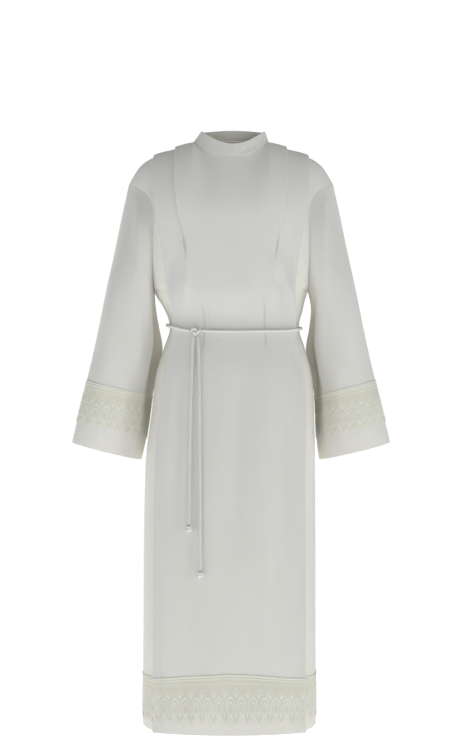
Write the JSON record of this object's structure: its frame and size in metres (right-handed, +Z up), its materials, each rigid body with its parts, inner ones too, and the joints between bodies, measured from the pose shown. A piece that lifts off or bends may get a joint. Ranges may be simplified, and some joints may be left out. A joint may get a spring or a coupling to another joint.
{
  "type": "alb with cincture (white full-length liturgical tunic)",
  "caption": "Full-length white tunic with pleated shoulders, wide sleeves, stand collar, lace at cuffs and hem, and a knotted rope belt.",
  "frame": {"origin": "between the wearer's shoulders at the level of the side of the neck, where the garment is held up", "axes": "+Z up the wearer's body, -Y the way the wearer faces, +X the wearer's left"},
  "size_m": [0.7592, 0.3139, 1.4241],
  "materials": {
    "cloth": "matt plain-woven white cloth with a faint sheen",
    "lace": "ivory scalloped lace with raised cords",
    "rope": "white twisted cotton rope"
  },
  "bodies": {
    "root": {"front_panel": "cloth", "back_panel": "cloth", "sleeve_left": "cloth", "sleeve_right": "cloth", "collar": "cloth", "lace_hem_front": "lace", "lace_hem_back": "lace", "lace_cuff_left": "lace", "lace_cuff_right": "lace", "cincture_waist": "rope", "cincture_knot": "rope", "cincture_end_long": "rope", "cincture_end_knot_long": "rope", "cincture_end_short": "rope", "cincture_end_knot_short": "rope"}
  },
  "joints": []
}
